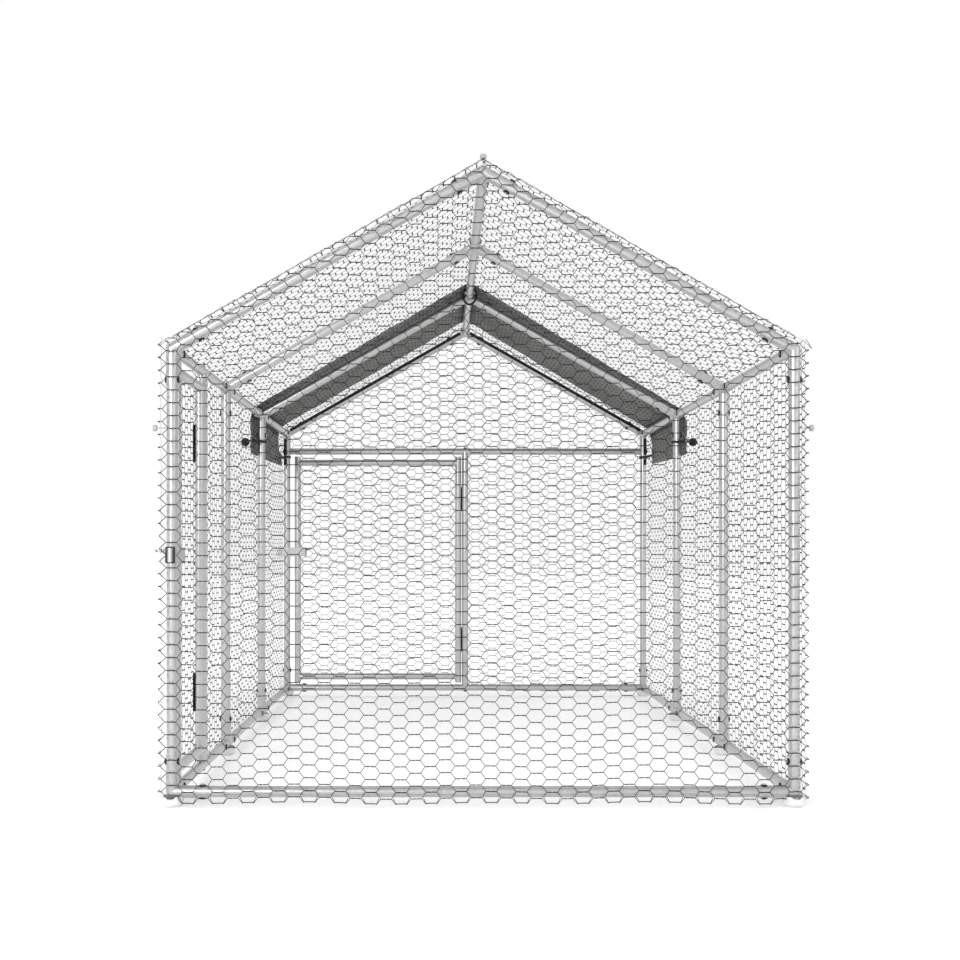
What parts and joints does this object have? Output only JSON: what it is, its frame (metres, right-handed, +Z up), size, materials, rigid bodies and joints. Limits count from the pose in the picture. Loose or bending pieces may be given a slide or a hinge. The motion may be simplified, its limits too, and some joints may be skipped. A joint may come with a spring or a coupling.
{
  "type": "walk-in chicken run",
  "caption": "Walk-in peaked poultry run of round galvanised tube and hexagonal wire netting, with a roof cover on ball bungees, a hinged front door and a narrow hinged side door.",
  "frame": {"origin": "on the ground, in the middle of the run", "axes": "+Z up, +Y out through the front doorway along the ridge, +X to the wall without a door"},
  "size_m": [2.1416, 3.085, 2.0212],
  "materials": {
    "galvanised_tube": "dull galvanised",
    "netting_wire": "galvanised wire",
    "plated_steel": "zinc plated",
    "black_hinge_metal": "black paint",
    "black_plastic": "moulded",
    "elastic_cord": "braided",
    "cover_fabric": "woven, coated",
    "pale_plastic": "moulded"
  },
  "bodies": {
    "frame": {"post_left_1": "galvanised_tube", "post_left_2": "galvanised_tube", "post_left_3": "galvanised_tube", "post_left_4": "galvanised_tube", "post_right_1": "galvanised_tube", "post_right_2": "galvanised_tube", "post_right_3": "galvanised_tube", "post_right_4": "galvanised_tube", "rafter_left_1": "galvanised_tube", "rafter_left_2": "galvanised_tube", "rafter_left_3": "galvanised_tube", "rafter_left_4": "galvanised_tube", "rafter_right_1": "galvanised_tube", "rafter_right_2": "galvanised_tube", "rafter_right_3": "galvanised_tube", "rafter_right_4": "galvanised_tube", "ridge_poles": "galvanised_tube", "left_eave_rails": "galvanised_tube", "right_eave_rails": "galvanised_tube", "left_base_rails": "galvanised_tube", "right_base_rails": "galvanised_tube", "rear_base_rail": "galvanised_tube", "front_base_rail": "galvanised_tube", "base_connectors": "galvanised_tube", "eave_connectors": "galvanised_tube", "ridge_connectors": "galvanised_tube", "socket_bolts": "plated_steel", "saddle_washers": "black_plastic", "foot_cups": "pale_plastic", "front_header_rail": "galvanised_tube", "front_centre_post": "galvanised_tube", "side_door_post": "galvanised_tube", "branch_plugs": "plated_steel", "rear_net": "netting_wire", "left_wall_net": "netting_wire", "right_wall_net": "netting_wire", "left_roof_net": "netting_wire", "right_roof_net": "netting_wire", "front_gable_net": "netting_wire", "front_panel_net": "netting_wire", "cover": "cover_fabric", "bungee_cords": "elastic_cord", "bungee_balls": "black_plastic", "post_hinge_leaves": "black_hinge_metal", "hinge_pins": "plated_steel", "latch_keepers": "plated_steel", "latch_stop_plates": "galvanised_tube"},
    "front_door": {"front_door_frame": "galvanised_tube", "front_door_net": "netting_wire", "front_hinge_leaves": "black_hinge_metal", "front_latch_plate": "plated_steel"},
    "front_bolt": {"front_latch_bolt": "plated_steel"},
    "side_door": {"side_door_frame": "galvanised_tube", "side_door_net": "netting_wire", "side_hinge_leaves": "black_hinge_metal", "side_latch_plate": "plated_steel"},
    "side_bolt": {"side_latch_bolt": "plated_steel"}
  },
  "joints": [
    {"name": "front_door_hinge", "type": "hinge", "parent": "frame", "child": "front_door", "pos_m": [-0.0195, 1.5008, 0.7], "axis": [0, 0, -1], "range_deg": [0, 165]},
    {"name": "front_bolt_slide", "type": "slide", "parent": "front_door", "child": "front_bolt", "axis": [-1, 0, 0], "range_m": [0, 0.035]},
    {"name": "side_door_hinge", "type": "hinge", "parent": "frame", "child": "side_door", "pos_m": [-0.9983, -1.0045, 0.7], "axis": [0, 0, -1], "range_deg": [0, 165]},
    {"name": "side_bolt_slide", "type": "slide", "parent": "side_door", "child": "side_bolt", "axis": [0, -1, 0], "range_m": [0, 0.035]}
  ]
}
